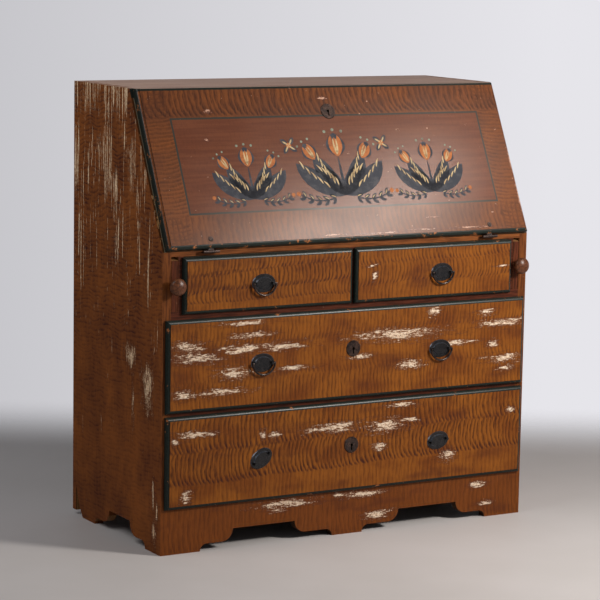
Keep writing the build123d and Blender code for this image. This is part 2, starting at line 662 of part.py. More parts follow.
def make_box(name, opening, tail_count):
    x0, x1, z0, z1 = opening
    low = z0 + RUN_GAP + BOX_BOTTOM_T
    high = z1 - BOX_DROP
    with BuildPart() as box:
        for wall_x in (x0 + FIT_SIDE, x1 - FIT_SIDE - BOX_SIDE_T):
            board(wall_x, wall_x + BOX_SIDE_T, FRONT_IN, BOX_REAR_V, low, high)
            for shape in front_tails(low, high, tail_count):
                prism(side_plane(wall_x), shape, BOX_SIDE_T)
        wall = FIT_SIDE + BOX_SIDE_T + GLUE_LINE
        board(x0 + wall, x1 - wall, BOX_REAR_V - BOX_SIDE_T, BOX_REAR_V, low, high)
    save(box, f"{name}_box")
    with BuildPart() as bottom:
        board(x0 + FIT_SIDE, x1 - FIT_SIDE, FRONT_IN, BOX_REAR_V, z0 + RUN_GAP, low)
    save(bottom, f"{name}_bottom")


def make_bail(name, x, z):
    """Drop handle: half-oval rod of three tangent arcs, with two pins turned inward."""
    side_x = BAIL_RX - BAIL_SIDE_R
    foot_r = (side_x ** 2 + BAIL_RZ ** 2 - BAIL_SIDE_R ** 2) / (2 * (BAIL_RZ - BAIL_SIDE_R))
    turn = math.degrees(math.atan2(foot_r - BAIL_RZ, side_x))
    with BuildPart() as bail:
        with BuildLine(front_plane(PULL_V)) as path:
            CenterArc((x - side_x, z), BAIL_SIDE_R, 180, turn)
            CenterArc((x, z + foot_r - BAIL_RZ), foot_r, 180 + turn, 180 - 2 * turn)
            CenterArc((x + side_x, z), BAIL_SIDE_R, -turn, turn)
        start = Plane(origin=(x - BAIL_RX, FRONT_Y + PULL_V, z), x_dir=(1, 0, 0), z_dir=(0, 0, -1))
        with BuildSketch(start) as rod:
            Circle(BAIL_R)
        sweep(rod.sketch, path=path.line)
        for way in (-1, 1):
            outer = x + way * BAIL_RX
            inner = x + way * (POST_X - POST_R + CUT)
            disc(side_plane(min(outer, inner)), PULL_V, z, PIN_R, abs(outer - inner))
            with Locations((outer, FRONT_Y + PULL_V, z)):
                Sphere(BAIL_R)
    save(bail, name)


def oval_dome(x, z, tilt, v, rx, rz, rise, bevel):
    with BuildSketch(front_plane(v)) as foot:
        with Locations((x, z)):
            Ellipse(rx, rz, rotation=tilt)
    with BuildSketch(front_plane(v - rise)) as crown:
        with Locations((x, z)):
            Ellipse(rx - bevel, rz - bevel, rotation=tilt)
    loft([foot.sketch, crown.sketch])


def make_plates(name, places):
    """Oval back plates, each turned by its tilt, with raised boss and two eyed posts."""
    with BuildPart() as plates:
        for x, z, tilt in places:
            across = math.cos(math.radians(tilt))
            upward = math.sin(math.radians(tilt))
            oval_dome(x, z, tilt, FACE_V, PLATE_RX, PLATE_RZ, PLATE_T, PLATE_BEVEL)
            oval_dome(x, z, tilt, FACE_V - PLATE_T, BOSS_RX, BOSS_RZ, BOSS_T, BOSS_BEVEL)
            for way in (-1, 1):
                post = (x + way * POST_X * across, z + way * POST_X * upward)
                disc(front_plane(FACE_V), *post, POST_R, PULL_STAND + POST_R)
            for way in (-1, 1):
                reach = way * POST_X - POST_R - CUT
                eye = Plane(
                    origin=(x + reach * across, FRONT_Y + PULL_V, z + reach * upward),
                    x_dir=(0, 1, 0), z_dir=(across, 0, upward),
                )
                disc(eye, 0, 0, PIN_R + PIN_FIT, 2 * (POST_R + CUT), Mode.SUBTRACT)
    save(plates, name)


# Small drawers
for name, way in (("left", -1), ("right", 1)):
    xs = sorted((way * SMALL_IN_X, way * SMALL_OUT_X))
    lips = sorted((way * SMALL_LIP_GAP, way * SMALL_LIP_X))
    gap = (xs[0], xs[1], SHELF_TOP_Z, FLOOR_Z)
    make_front(f"small_{name}", (lips[0], lips[1], SMALL_LIP_Z, SMALL_LIP_TOP_Z), gap, 3, None)
    make_box(f"small_{name}", gap, 3)
    make_plates(f"small_{name}_pull_plate", [(way * PULL_X, SMALL_PULL_Z, 0)])
    make_bail(f"small_{name}_bail", way * PULL_X, SMALL_PULL_Z)

# Wide drawers with locks; the lower one has lost its bails and its plates have turned
for name, low, high, pull_drop, tilts, key_rise in (
    ("upper", LOWER_RAIL_TOP_Z, SHELF_Z, UPPER_PULL_DROP, (0, 0), UPPER_KEY_RISE),
    ("lower", BOTTOM_TOP_Z, LOWER_RAIL_Z, LOWER_PULL_DROP, (LOWER_LEFT_TILT, LOWER_RIGHT_TILT), LOWER_KEY_RISE),
):
    pull_z = (low + high) / 2 - pull_drop
    key_z = (low + high) / 2 + key_rise
    gap = (-INNER_X, INNER_X, low, high)
    make_front(name, (-WIDE_LIP_X, WIDE_LIP_X, low - LIP_LAP, high + LIP_LAP), gap, 5, key_z)
    make_box(name, gap, 5)
    make_plates(f"{name}_pull_plates", [(-PULL_X, pull_z, tilts[0]), (PULL_X, pull_z, tilts[1])])
    if name == "upper":
        make_bail("upper_bail_left", -PULL_X, pull_z)
        make_bail("upper_bail_right", PULL_X, pull_z)
    with BuildPart() as escutcheon:
        with BuildSketch(front_plane(FACE_V)) as plate:
            with Locations((0, key_z)):
                Circle(ESC_R)
        extrude(plate.sketch, amount=ESC_T, taper=30)
        keyhole(front_plane(FACE_V + CUT), key_z, ESC_T + 2 * CUT)
    save(escutcheon, f"{name}_escutcheon")
    lock_top = high - LOCK_TOP_GAP
    with BuildPart() as lock:
        board(
            -LOCK_W / 2, LOCK_W / 2, FRONT_IN, FRONT_IN + LOCK_T,
            key_z - LOCK_BELOW_KEY, lock_top,
        )
        board(
            -BOLT_W / 2 - BOLT_FIT, BOLT_W / 2 + BOLT_FIT, BOLT_V0 - BOLT_FIT, BOLT_V0 + BOLT_T + BOLT_FIT,
            key_z + BOLT_ABOVE_KEY, lock_top + CUT, Mode.SUBTRACT,
        )
        keyhole(front_plane(FRONT_IN + LOCK_T + CUT), key_z, LOCK_T + 2 * CUT)
    save(lock, f"{name}_lock")
    with BuildPart() as bolt:
        board(
            -BOLT_W / 2, BOLT_W / 2, BOLT_V0, BOLT_V0 + BOLT_T,
            key_z + BOLT_ABOVE_KEY + BOLT_FIT, lock_top + BOLT_PROUD,
        )
    save(bolt, f"{name}_lock_bolt")

# Two little drawers in the writing room
for name, way in (("left", -1), ("right", 1)):
    xs = sorted((way * (DRAWER_BAY_X + GALLERY_T / 2 + INNER_FIT), way * (INNER_X - INNER_FIT)))
    z0 = FLOOR_TOP_Z + RUN_GAP
    z1 = GALLERY_SHELF_Z - INNER_FIT
    with BuildPart() as tray:
        front_v = GALLERY_V + INNER_SET_BACK
        body_v = front_v + INNER_FRONT_T + GLUE_LINE
        rear_v = BACK_V - INNER_REAR_GAP
        wall = INNER_WALL + GLUE_LINE
        board(xs[0], xs[1], front_v, front_v + INNER_FRONT_T, z0, z1)
        board(xs[0], xs[1], body_v, rear_v, z0, z0 + INNER_WALL)
        for wall_x in (xs[0], xs[1] - INNER_WALL):
            board(wall_x, wall_x + INNER_WALL, body_v, rear_v, z0 + wall, z1 - INNER_DROP)
        board(xs[0] + wall, xs[1] - wall, rear_v - INNER_WALL, rear_v, z0 + wall, z1 - INNER_DROP)
    save(tray, f"inner_drawer_{name}")
    with BuildPart() as pip:
        middle = (xs[0] + xs[1]) / 2
        height = (z0 + z1) / 2
        disc(front_plane(front_v), middle, height, INNER_STEM_R, INNER_STEM)
        with Locations((middle, FRONT_Y + front_v - INNER_KNOB_OUT, height)):
            Sphere(INNER_KNOB_R)
    save(pip, f"inner_knob_{name}")
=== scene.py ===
"""Painted slant-front secretary desk: finishes, painted ornament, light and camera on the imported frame."""
import math
from typing import NamedTuple

import bmesh
import bpy
from mathutils import Matrix, Vector


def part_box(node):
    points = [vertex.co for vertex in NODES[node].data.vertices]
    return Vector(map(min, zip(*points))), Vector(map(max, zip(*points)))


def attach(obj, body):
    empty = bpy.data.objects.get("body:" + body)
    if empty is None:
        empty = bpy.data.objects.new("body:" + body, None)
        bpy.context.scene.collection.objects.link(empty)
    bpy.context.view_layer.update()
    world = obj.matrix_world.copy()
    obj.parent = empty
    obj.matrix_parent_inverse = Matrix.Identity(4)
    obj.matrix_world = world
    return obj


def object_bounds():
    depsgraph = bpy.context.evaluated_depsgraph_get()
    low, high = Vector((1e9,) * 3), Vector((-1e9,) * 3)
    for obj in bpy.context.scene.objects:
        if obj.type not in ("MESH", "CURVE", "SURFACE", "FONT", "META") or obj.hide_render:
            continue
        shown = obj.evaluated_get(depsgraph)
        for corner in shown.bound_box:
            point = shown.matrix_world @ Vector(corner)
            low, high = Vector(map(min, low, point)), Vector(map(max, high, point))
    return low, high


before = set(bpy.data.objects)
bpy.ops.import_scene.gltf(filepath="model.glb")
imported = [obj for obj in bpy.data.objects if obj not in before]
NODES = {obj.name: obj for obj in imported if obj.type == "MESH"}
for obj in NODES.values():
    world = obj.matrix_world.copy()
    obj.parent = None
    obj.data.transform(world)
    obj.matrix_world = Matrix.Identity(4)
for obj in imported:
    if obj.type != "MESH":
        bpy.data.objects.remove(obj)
CAD_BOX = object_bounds()

# Sizes in millimetres, as on the desk; v is depth behind the case front, s the way up the slope
MM = 0.001
FRONT_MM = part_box("side_left")[0].y / MM
TOP_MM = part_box("top_board")[1].z / MM
SLOPE_FOOT = 717.0
SLOPE_RUN = 181.0
SLOPE = math.atan2(TOP_MM - SLOPE_FOOT, SLOPE_RUN)
UP_V = math.cos(SLOPE)
UP_Z = math.sin(SLOPE)
SLOPE_NORMAL = Vector((0.0, -UP_Z, UP_V))
LID_FACE_OUT = 20.3
LID_HALF = 503.0
LID_END = 399.0
LID_EDGE_LINE = 6.0
DRAWER_FACE_V = -13.0
SIDE_FACE_X = 505.0
SIDE_EDGE_X = 499.0
FRAME_X = 430.0
FRAME_LOW = 83.0
FRAME_HIGH = 321.0
FRAME_LINE = 2.3
PLANKS = 5
PLANK_W = 204.0

# Worn places: centre and half size, across and up; across is v on the sides, up is s on the lid
WORN_UPPER = (
    (-450, 495, 40, 12), (-425, 467, 70, 12), (-305, 480, 60, 13), (-200, 480, 70, 10),
    (-325, 425, 42, 16), (-360, 382, 70, 8), (-460, 382, 32, 12), (-280, 512, 55, 7),
    (-300, 542, 60, 6), (-165, 425, 50, 6), (125, 487, 120, 15), (230, 537, 18, 14),
    (385, 525, 28, 8), (430, 496, 65, 10), (405, 445, 18, 10), (445, 407, 52, 10),
    (450, 382, 24, 8), (165, 410, 35, 12), (20, 440, 40, 6), (300, 455, 60, 6),
)
WORN_LOWER = (
    (-435, 285, 55, 9), (-480, 272, 9, 10), (-245, 270, 10, 12), (-215, 266, 18, 9),
    (-50, 271, 80, 11), (-450, 138, 14, 16), (95, 262, 50, 18), (165, 273, 26, 7),
    (80, 214, 20, 10), (280, 173, 23, 14), (465, 274, 12, 8), (140, 311, 38, 7),
)
WORN_APRON = (
    (-170, 93, 75, 10), (-195, 78, 26, 6), (-25, 98, 18, 6), (40, 95, 58, 9),
    (85, 40, 38, 12), (385, 85, 26, 8), (410, 36, 22, 7),
)
WORN_SMALL = ((57, 633, 7, 12), (50, 660, 14, 4), (430, 640, 22, 3))
WORN_LID = (
    (-8, 366, 11, 4), (-329, 339, 10, 5), (-347, 266, 6, 4), (-60, 15, 36, 2), (70, 14, 50, 2),
    (190, 18, 36, 2), (330, 17, 50, 2), (498, 190, 4, 40), (498, 90, 4, 50), (230, 48, 20, 2),
)
SIDE_STREAKS = (
    (475, 895, 14, 75), (455, 680, 22, 115), (300, 935, 16, 85), (250, 840, 20, 60),
    (250, 712, 14, 86), (205, 945, 8, 60), (180, 670, 9, 98), (75, 650, 14, 80),
    (130, 760, 10, 110), (410, 900, 12, 60),
)
SIDE_CHIPS = (
    (165, 450, 26, 28), (72, 387, 30, 54), (150, 343, 6, 60), (40, 139, 6, 40),
    (34, 48, 9, 34), (20, 95, 6, 30),
)


class Row(NamedTuple):
    """One row of combed strokes: its foot and top, and their slant, pitch, hooked ends and darkness."""

    low: float
    high: float
    tilt: float
    pitch: float
    hook: float
    darkness: float


# Rows of combing on the four drawer fronts, the apron and the lid's border, from the top down
LEFT_ROWS = (
    Row(680.0, 738.0, 0.062, 11.0, -6.0, 0.60), Row(634.0, 684.0, 0.040, 10.5, -6.0, 0.66),
    Row(600.0, 639.0, 0.018, 10.5, 5.0, 0.54), Row(556.0, 606.0, 0.010, 10.5, 2.0, 0.34),
)
RIGHT_ROWS = (
    Row(658.0, 722.0, 0.030, 10.5, 6.0, 0.52), Row(612.0, 664.0, 0.020, 10.5, -6.0, 0.50),
    Row(556.0, 617.0, 0.010, 11.0, 4.0, 0.42),
)
UPPER_ROWS = (
    Row(496.0, 574.0, 0.020, 11.0, -4.0, 0.42), Row(410.0, 502.0, 0.010, 10.5, 4.0, 0.36),
    Row(326.0, 415.0, 0.010, 11.0, 6.0, 0.46),
)
LOWER_ROWS = (
    Row(250.0, 338.0, 0.022, 12.0, 8.0, 0.62), Row(172.0, 256.0, 0.018, 11.5, 10.0, 0.66),
    Row(90.0, 178.0, 0.010, 11.5, 2.0, 0.34),
)
APRON_ROWS = (Row(0.0, 130.0, 0.0, 13.0, 6.0, 0.30),)
LID_TOP_ROW = Row(FRAME_HIGH + 4.0, LID_END + 22.0, 0.0, 15.0, 12.0, 0.72)
LID_FOOT_ROW = Row(-14.0, FRAME_LOW - 2.0, 0.0, 14.0, 6.0, 0.50)
LID_END_ROW = Row(FRAME_X + 3.0, LID_HALF + 16.0, 0.0, 10.0, 5.0, 0.42)


def tone(red, green, blue):
    """A colour given as it looks on a screen, turned into shader light values by the sRGB curve."""
    values = []
    for part in (red, green, blue):
        shown = part / 255
        values.append(shown / 12.92 if shown <= 0.04045 else ((shown + 0.055) / 1.055) ** 2.4)
    return (*values, 1.0)


# Paints and woods
OCHRE = tone(138, 80, 25)
OCHRE_DARK = tone(54, 25, 12)
OCHRE_WARM = tone(110, 58, 18)
OCHRE_APRON = tone(116, 62, 22)
OCHRE_RUBBED = tone(166, 102, 58)
PLUM = tone(50, 22, 24)
WINE = tone(66, 30, 20)
UMBER = tone(138, 79, 37)
UMBER_DARK = tone(68, 35, 27)
LID_RED = tone(103, 57, 33)
LID_RED_DARK = tone(90, 46, 26)
LID_RIM = tone(115, 64, 28)
LID_RIM_DARK = tone(97, 53, 25)
LID_STROKE = tone(60, 30, 14)
LID_LINE = tone(44, 48, 42)
CREAM = tone(228, 210, 186)
CREAM_DARK = tone(180, 146, 118)
SIDE_PALE = tone(242, 214, 178)
SIDE_TAN = tone(180, 140, 104)
CHIP_PALE = tone(206, 164, 138)
CHIP_DARK = tone(160, 112, 86)
GREEN_BLACK = tone(23, 29, 23)
GREEN_GREY = tone(38, 45, 42)
# Pale line on the slanted side edge: a painted highlight
EDGE_HIGHLIGHT = tone(136, 124, 102)
EDGE_BROWN = tone(80, 47, 24)
EDGE_WORN = tone(176, 132, 86)
TOP_BROWN = tone(160, 114, 90)
# The top's paler paint: partly wear, partly a painted reflection of the backdrop
TOP_PALE_AND_SHEEN = tone(208, 170, 144)
TOP_CHIP = tone(214, 192, 168)
BARE = tone(150, 108, 66)
BARE_DARK = tone(104, 68, 38)
JOINT_DARK = tone(40, 26, 16)
TURNED = tone(104, 62, 38)
TURNED_DARK = tone(60, 33, 19)


class Wire:
    """A value on its way through a tree of nodes; ordinary arithmetic adds the nodes."""

    def __init__(self, nodes, socket):
        self.nodes = nodes
        self.socket = socket

    def math(self, operation, *others):
        return self.nodes.math(operation, self, *others)

    def __add__(self, other):
        return self.math("ADD", other)

    def __sub__(self, other):
        return self.math("SUBTRACT", other)

    def __rsub__(self, other):
        return self.nodes.math("SUBTRACT", other, self)

    def __mul__(self, other):
        return self.math("MULTIPLY", other)

    def __truediv__(self, other):
        return self.math("DIVIDE", other)

    def __pow__(self, other):
        return self.math("POWER", other)

    def __abs__(self):
        return self.math("ABSOLUTE")

    __radd__ = __add__
    __rmul__ = __mul__

    def most(self, other):
        """The larger of the two."""
        return self.math("MAXIMUM", other)

    def least(self, other):
        """The smaller of the two."""
        return self.math("MINIMUM", other)

    def clamped(self):
        """The value, kept between 0 and 1."""
        return self.most(0.0).least(1.0)

    def fraction(self):
        """What is left over above the whole number below."""
        return self.math("FRACT")

    def centred(self, span):
        """A value from 0 to 1, turned into one from -span / 2 to span / 2."""
        return (self - 0.5) * span

    def ramp(self, start, end, kind="SMOOTHSTEP"):
        """0 before start and 1 after end, between them as kind says; start may lie above end."""
        node = self.nodes.node("ShaderNodeMapRange", interpolation_type=kind)
        self.nodes.plug(self, node.inputs["Value"])
        node.inputs["From Min"].default_value = start
        node.inputs["From Max"].default_value = end
        return Wire(self.nodes, node.outputs["Result"])


class Nodes:
    """A tree of shader nodes being wired up."""

    def __init__(self, tree):
        self.tree = tree

    def node(self, kind, **settings):
        made = self.tree.nodes.new(kind)
        for key, value in settings.items():
            setattr(made, key, value)
        return made

    def plug(self, value, socket):
        """Lead a wire to a socket, or set the socket to a plain value."""
        if isinstance(value, Wire):
            self.tree.links.new(value.socket, socket)
        else:
            socket.default_value = value

    def math(self, operation, *values):
        node = self.node("ShaderNodeMath", operation=operation)
        for number, value in enumerate(values):
            self.plug(value, node.inputs[number])
        return Wire(self, node.outputs[0])

    def vector(self, *values):
        node = self.node("ShaderNodeCombineXYZ")
        for number, value in enumerate(values):
            self.plug(value, node.inputs[number])
        return Wire(self, node.outputs[0])

    def mix(self, factor, first, second):
        """The first colour at factor 0, the second at factor 1."""
        node = self.node("ShaderNodeMix", data_type="RGBA")
        self.plug(factor, node.inputs[0])
        self.plug(first, node.inputs[6])
        self.plug(second, node.inputs[7])
        return Wire(self, node.outputs[2])


class Finish(Nodes):
    """A material being mixed, with the object's own coordinates at hand in millimetres."""

    def __init__(self, name):
        self.material = bpy.data.materials.new(name)
        self.material.use_nodes = True
        super().__init__(self.material.node_tree)
        self.shader = self.tree.nodes["Principled BSDF"]
        coordinates = self.node("ShaderNodeTexCoord")
        split = self.node("ShaderNodeSeparateXYZ")
        self.tree.links.new(coordinates.outputs["Object"], split.inputs[0])
        self.place = tuple(Wire(self, socket) / MM for socket in split.outputs)
        self.x, self.y, self.z = self.place
        self.v = self.y - FRONT_MM
        self.s = self.v * UP_V + (self.z - SLOPE_FOOT) * UP_Z

    def noise(self, spot, rate, seed=0.0, detail=2.0, roughness=0.5):
        """Cloudy noise, 0 to 1, over two or three coordinates; rate is its cells per millimetre on each."""
        scaled = [place * cells for place, cells in zip(spot, rate)]
        if len(scaled) == 2:
            scaled.append(seed)
        else:
            scaled[2] = scaled[2] + seed
        node = self.node("ShaderNodeTexNoise")
        node.inputs["Scale"].default_value = 1.0
        node.inputs["Detail"].default_value = detail
        node.inputs["Roughness"].default_value = roughness
        self.plug(self.vector(*scaled), node.inputs["Vector"])
        return Wire(self, node.outputs[0])

    def nearest(self, spot, patches):
        """Distance to the nearest worn place, 1 on its rim."""
        point = self.vector(*spot, 0.0)
        near = None
        for across, up, half_across, half_up in patches:
            scaled = self.node("ShaderNodeVectorMath", operation="MULTIPLY_ADD")
            self.plug(point, scaled.inputs[0])
            scaled.inputs[1].default_value = (1 / half_across, 1 / half_up, 0.0)
            scaled.inputs[2].default_value = (-across / half_across, -up / half_up, 0.0)
            size = self.node("ShaderNodeVectorMath", operation="LENGTH")
            self.tree.links.new(scaled.outputs[0], size.inputs[0])
            reach = Wire(self, size.outputs["Value"])
            near = reach if near is None else near.least(reach)
        return near

    def done(self, colour, roughness, height=None, bump=0.3, depth=0.3, metallic=0.0, gloss=0.2):
        """Lead everything to the shader; depth is how deep the relief is, in millimetres."""
        self.plug(colour, self.shader.inputs["Base Color"])
        self.plug(roughness, self.shader.inputs["Roughness"])
        self.shader.inputs["Metallic"].default_value = metallic
        self.shader.inputs["Specular IOR Level"].default_value = gloss
        if height is not None:
            relief = self.node("ShaderNodeBump")
            relief.inputs["Strength"].default_value = bump
            relief.inputs["Distance"].default_value = depth * MM
            self.plug(height, relief.inputs["Height"])
            self.tree.links.new(relief.outputs[0], self.shader.inputs["Normal"])
        return self.material


# Combing: where in a row the strokes start to hook, and how sharply
TOP_BEND = 0.60
FOOT_BEND = 0.42
TOP_PULL = 5.0
FOOT_PULL = 7.0

# Combing: how far the strokes stray, in pitches, and how far a row waves, in millimetres
DRIFT = 2.4
WAVER = 0.9
ROW_WAVE = 20.0

# Combing and planks: what each further row or plank adds to the seed of its noise
ROW_SEED = 11.0
PLANK_SEED = 13.0

# Glaze: the level of noise at which it is neither thicker nor thinner than usual
GLAZE_EVEN = 0.46

# Wear: how far off a worn place still counts, in half sizes, and how much it weighs
WEAR_REACH = 2.6
WEAR_WEIGHT = 0.40
STREAK_REACH = 1.7
STREAK_WEIGHT = 0.075


def comb_row(finish, spot, row, seed):
    """One row of upright combed strokes, hooked at the ends, and their dark feet: 0 light to 1 dark."""
    across, up = spot
    wave = finish.noise(spot, (0.006, 0.004), seed).centred(ROW_WAVE)
    place = (up - across * row.tilt + wave - row.low) / (row.high - row.low)
    top_hook = (place - TOP_BEND).most(0.0) ** 2.0
    foot_hook = (FOOT_BEND - place).most(0.0) ** 2.0
    lean = (top_hook * TOP_PULL + foot_hook * FOOT_PULL) * row.hook
    drift = finish.noise(spot, (0.013, 0.006), seed + 7.0).centred(DRIFT * row.pitch)
    waver = finish.noise(spot, (0.07, 0.035), seed + 5.0).centred(WAVER * row.pitch)
    saw = ((across + drift + waver - lean) / row.pitch).fraction()
    line = saw.ramp(0.0, 0.20) * saw.ramp(0.95, 0.35)
    hairs = finish.noise(spot, (0.32, 0.030), seed + 3.0, detail=3.0, roughness=0.65)
    inside = place.ramp(-0.05, 0.06) * place.ramp(1.06, 0.92)
    foot = place.ramp(0.26, 0.06) * inside * line
    shade = line * (hairs.ramp(0.30, 0.66) + 0.25) * inside + foot * 0.3
    return shade * row.darkness, foot * row.darkness


def pale_ground(finish, spot, seed, light, dark):
    """The mottled ground that shows where paint has come off."""
    mottle = finish.noise(spot, (0.16, 0.24), seed, detail=4.0, roughness=0.7)
    return finish.mix(mottle.ramp(0.34, 0.62), dark, light)


def worn_off(finish, paint, spot, patches, stretch, seed, light=CREAM, dark=CREAM_DARK):
    """Paint come off to the pale ground in places, rubbed round them; also gives how bare, 0 to 1."""
    finer = (stretch[0] * 4.0, stretch[1] * 2.5)
    along = finish.noise(spot, stretch, seed, detail=5.0, roughness=0.66)
    fine = finish.noise(spot, finer, seed + 2.0, detail=4.0, roughness=0.7)
    grit = finish.noise(spot, (0.30, 0.40), seed + 8.0, detail=3.0, roughness=0.7)
    near = finish.nearest(spot, patches).least(WEAR_REACH)
    broken = along.centred(1.5) + fine.centred(1.4) + grit.centred(0.7)
    score = (1.0 - near) * WEAR_WEIGHT + broken
    stained = score.ramp(-0.30, 0.08) * 0.55
    thin = score.ramp(0.0, 0.20) * grit.ramp(0.44, 0.58) * 0.60
    bare = score.ramp(0.205, 0.245)
    ground = pale_ground(finish, spot, seed + 1.0, light, dark)
    rubbed = finish.mix(thin, finish.mix(stained, paint, WINE), dark)
    return finish.mix(bare, rubbed, ground), bare


def grained_front(name, rows, patches, seed, light=OCHRE):
    """Ochre paint combed with dark glaze in rows, flaked to the cream ground in places."""
    finish = Finish(name)
    spot = (finish.x, finish.z)
    combed = [comb_row(finish, spot, row, seed + ROW_SEED * number) for number, row in enumerate(rows)]
    strokes, feet = combed[0]
    for more_strokes, more_feet in combed[1:]:
        strokes = strokes.most(more_strokes)
        feet = feet.most(more_feet)
    cloud = finish.noise(spot, (0.010, 0.016), seed + 1.0, detail=3.0)
    veil = finish.noise(spot, (0.28, 0.020), seed + 4.0, detail=4.0, roughness=0.7)
    smoke = finish.noise(spot, (0.007, 0.020), seed + 9.0, detail=3.0)
    ground = finish.mix(cloud.ramp(0.35, 0.75), light, OCHRE_WARM)
    glaze = finish.mix(feet.least(0.7), OCHRE_DARK, PLUM)
    glazed = finish.mix((strokes + (veil - GLAZE_EVEN) * 1.3).clamped(), ground, glaze)
    paint = finish.mix(smoke.ramp(0.52, 0.74) * 0.45, glazed, WINE)
    colour, bare = worn_off(finish, paint, spot, patches, (0.020, 0.11), seed + 5.0)
    roughness = bare * 0.35 + (cloud.centred(0.12) + 0.40)
    height = strokes * 0.25 - bare * 0.8 + veil * 0.2
    return finish.done(colour, roughness, height, bump=0.35, depth=0.35, gloss=0.12)


# Which way brush marks run: their rate across and up
ALONG = (0.02, 0.25)
UPRIGHT = (0.25, 0.02)


def plain_paint(name, light, dark, marks, seed):
    """Brown paint on rails, stiles and lopers, brushed one way."""
    finish = Finish(name)
    brush = finish.noise(finish.place, (marks[0], 0.05, marks[1]), seed, detail=3.0, roughness=0.65)
    speck = finish.noise(finish.place, (0.09, 0.09, 0.09), seed, detail=4.0, roughness=0.7)
    chip = speck.ramp(0.70, 0.74)
    colour = finish.mix(chip, finish.mix(brush.ramp(0.34, 0.66), dark, light), CREAM_DARK)
    return finish.done(colour, brush * 0.15 + 0.37, brush - chip, gloss=0.08)


def moulding_paint(name, seed, gloss, wear=0.0):
    """Green-black paint on the moulded edges, rubbed through to ochre on the high places."""
    finish = Finish(name)
    rub = finish.noise(finish.place, (0.045, 0.05, 0.05), seed, detail=4.0, roughness=0.65)
    fine = finish.noise(finish.place, (0.3, 0.3, 0.3), seed, detail=3.0, roughness=0.6)
    paint = finish.mix(fine.ramp(0.3, 0.75), GREEN_BLACK, GREEN_GREY)
    worn = (rub + fine.centred(0.40) + wear).ramp(0.675, 0.71)
    colour = finish.mix(worn, paint, OCHRE_RUBBED)
    return finish.done(colour, fine * 0.2 + 0.26, fine * 0.4 - worn, gloss=gloss)


def side_paint():
    """Umber graining in fine wavy bands across the side, flaked off in upright streaks."""
    band_height = 10.5
    band_sway = 46.0
    finish = Finish("side_paint")
    v = finish.v
    z = finish.z
    spot = (v, z)
    seed = finish.x * 0.004
    sway = finish.noise(spot, (0.012, 0.010), seed, detail=3.0)
    saw = ((z + sway.centred(band_sway) + v * 0.05) / band_height).fraction()
    strength = z.ramp(250.0, 800.0) * 0.45 + 0.60
    strokes = (1.0 - saw) ** 1.3 * saw.ramp(0.0, 0.25) * strength
    hairs = finish.noise(spot, (0.045, 0.07), seed, detail=3.0)
    cloud = finish.noise(spot, (0.010, 0.007), seed + 3.0, detail=4.0, roughness=0.6)
    comb = finish.noise(spot, (0.26, 0.014), seed + 9.0, detail=3.0, roughness=0.6)
    shade = strokes * hairs.ramp(0.30, 0.70) * 0.95 + comb.centred(0.9) + (cloud - 0.36) * 1.7
    paint = finish.mix(shade.clamped(), UMBER, UMBER_DARK)
    streak = finish.noise(spot, (0.14, 0.0050), seed + 5.0, detail=4.0, roughness=0.62)
    fine = finish.noise(spot, (0.5, 0.05), seed + 2.0, detail=3.0, roughness=0.65)
    near = finish.nearest(spot, SIDE_STREAKS).least(STREAK_REACH)
    higher = z.ramp(200.0, 850.0) * 0.105 + z.ramp(985.0, 1060.0) * 0.085
    flake = (streak + fine.centred(0.35) + higher + (1.0 - near) * STREAK_WEIGHT).ramp(0.66, 0.71)
    ground = pale_ground(finish, (z, v), seed + 6.0, SIDE_PALE, SIDE_TAN)
    streaked = finish.mix(flake, paint, ground)
    colour, bare = worn_off(
        finish, streaked, spot, SIDE_CHIPS, (0.11, 0.020), seed + 20.0, light=SIDE_PALE, dark=SIDE_TAN,
    )
    gone = flake.most(bare)
    height = strokes * 0.25 - gone * 0.8 + comb * 0.25
    return finish.done(colour, gone * 0.3 + 0.5, height, bump=0.4, depth=0.35, gloss=0.03)


